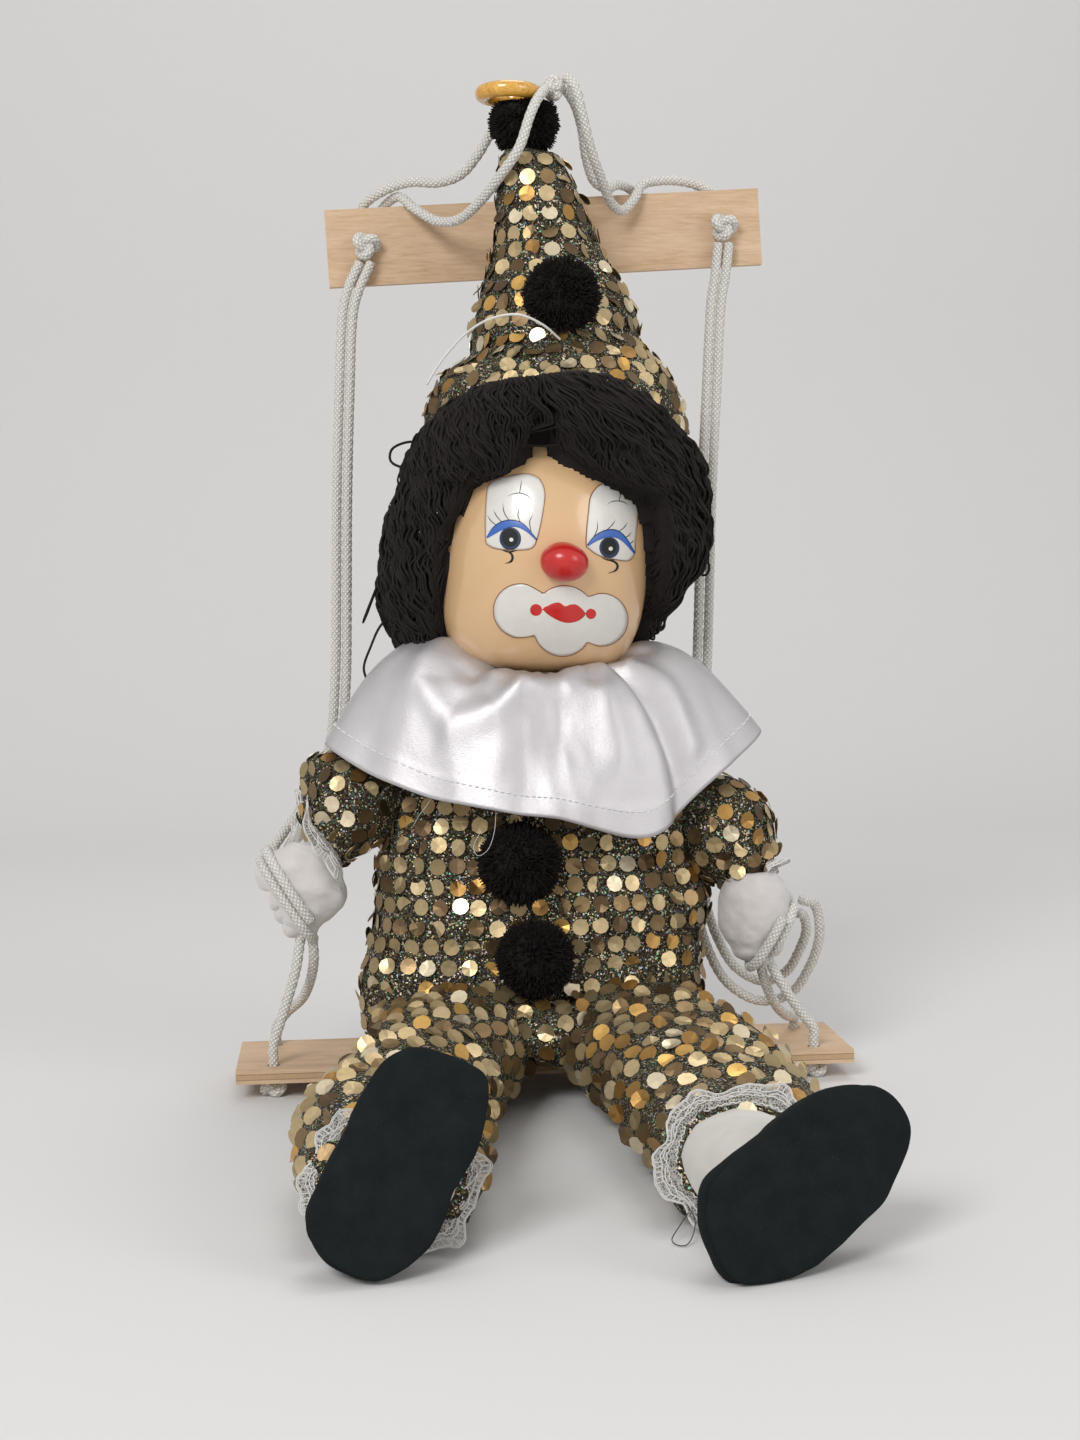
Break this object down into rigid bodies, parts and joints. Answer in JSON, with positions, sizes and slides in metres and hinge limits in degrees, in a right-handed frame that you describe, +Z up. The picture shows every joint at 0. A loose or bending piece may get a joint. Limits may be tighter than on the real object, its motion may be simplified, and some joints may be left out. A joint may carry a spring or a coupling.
{
  "type": "clown doll on rope swing",
  "caption": "Seated clown doll in a sequin jumpsuit, ruffled collar and cone hat, holding the cords of a wooden swing that hangs from a bar and ring.",
  "frame": {"origin": "centre of the seat board's underside", "axes": "+X along the seat board to the viewer's right, +Y to the doll's back, +Z up; the doll faces -Y"},
  "size_m": [0.203, 0.2781, 0.3349],
  "materials": {
    "wood": "bare pale basswood, sawn edges",
    "amber_wood": "glossy amber varnish",
    "sequin_cloth": "black knit covered with loose round gold, amber and brown sequins",
    "black_yarn": "black acrylic yarn",
    "black_cotton": "matt black cotton cloth",
    "white_satin": "soft white satin",
    "white_felt": "matt white felt",
    "white_lace": "white cotton ladder lace",
    "white_cord": "white braided cotton cord",
    "tan_ceramic": "glossy tan glaze with a painted face and a red nose"
  },
  "bodies": {
    "swing": {"seat_board": "wood", "seat_knot_left_front": "white_cord", "seat_knot_left_back": "white_cord", "seat_knot_right_front": "white_cord", "seat_knot_right_back": "white_cord", "torso": "sequin_cloth", "neck": "sequin_cloth", "chest_pompom": "black_yarn", "belly_pompom": "black_yarn", "collar": "white_satin", "hanger_bar": "wood", "bar_knot_left": "white_cord", "bar_knot_right": "white_cord", "ring_knot": "white_cord", "ring_cord_left_front": "white_cord", "ring_cord_left_back": "white_cord", "ring_cord_right_front": "white_cord", "ring_cord_right_back": "white_cord", "rope_left_front_upper": "white_cord", "rope_left_back_upper": "white_cord", "rope_left_front_lower": "white_cord", "rope_left_back_lower": "white_cord", "rope_right_front_upper": "white_cord", "rope_right_back_upper": "white_cord", "rope_right_front_lower": "white_cord", "rope_right_back_lower": "white_cord"},
    "head": {"head_shell": "tan_ceramic", "wig": "black_yarn", "hat": "sequin_cloth", "tip_pompom": "black_yarn", "hat_pompom": "black_yarn", "hat_thread": "white_cord"},
    "ring": {"hanging_ring": "amber_wood"},
    "left_arm": {"left_sleeve": "sequin_cloth", "left_wrist_lace": "white_lace", "left_hand": "white_felt", "left_hand_wrap": "white_cord"},
    "right_arm": {"right_sleeve": "sequin_cloth", "right_wrist_lace": "white_lace", "right_hand": "white_felt", "right_hand_wrap": "white_cord"},
    "left_leg": {"left_pants_leg": "sequin_cloth", "left_sock": "white_felt", "left_ankle_lace": "white_lace"},
    "right_leg": {"right_pants_leg": "sequin_cloth", "right_sock": "white_felt", "right_ankle_lace": "white_lace"},
    "left_foot": {"left_shoe_upper": "black_cotton", "left_shoe_sole": "black_cotton"},
    "right_foot": {"right_shoe_upper": "black_cotton", "right_shoe_sole": "black_cotton"}
  },
  "joints": [
    {"name": "head_turn", "type": "hinge", "parent": "swing", "child": "head", "pos_m": [0.0015, 0.001, 0.118], "axis": [-0.0076, 0.0611, 0.9981], "range_deg": [-20, 20]},
    {"name": "ring_lift", "type": "hinge", "parent": "swing", "child": "ring", "pos_m": [0.003, 0.01, 0.323], "axis": [0, 1, 0], "range_deg": [0, 90], "deforming": ["ring_cord_left_front", "ring_cord_left_back", "ring_cord_right_front", "ring_cord_right_back"]},
    {"name": "left_arm_swing", "type": "hinge", "parent": "swing", "child": "left_arm", "pos_m": [-0.05, 0, 0.095], "axis": [1, 0, 0], "range_deg": [-15, 15], "deforming": ["rope_left_front_upper", "rope_left_front_lower", "rope_left_back_upper", "rope_left_back_lower"]},
    {"name": "right_arm_swing", "type": "hinge", "parent": "swing", "child": "right_arm", "pos_m": [0.05, 0, 0.09], "axis": [1, 0, 0], "range_deg": [-15, 15], "deforming": ["rope_right_front_upper", "rope_right_front_lower", "rope_right_back_upper", "rope_right_back_lower"]},
    {"name": "left_leg_swing", "type": "hinge", "parent": "swing", "child": "left_leg", "pos_m": [-0.031, -0.04, 0.013], "axis": [-1, 0, 0], "range_deg": [-70, 35]},
    {"name": "right_leg_swing", "type": "hinge", "parent": "swing", "child": "right_leg", "pos_m": [0.031, -0.04, 0.013], "axis": [-1, 0, 0], "range_deg": [-70, 35]},
    {"name": "left_foot_flex", "type": "hinge", "parent": "left_leg", "child": "left_foot", "pos_m": [-0.05605, -0.1935, 0.00968], "axis": [0.9511, 0, -0.309], "range_deg": [-8, 8], "deforming": ["left_ankle_lace"]},
    {"name": "right_foot_flex", "type": "hinge", "parent": "right_leg", "child": "right_foot", "pos_m": [0.03859, -0.2045, 0.01023], "axis": [0.7986, 0, -0.6018], "range_deg": [-8, 8], "deforming": ["right_ankle_lace"]}
  ]
}
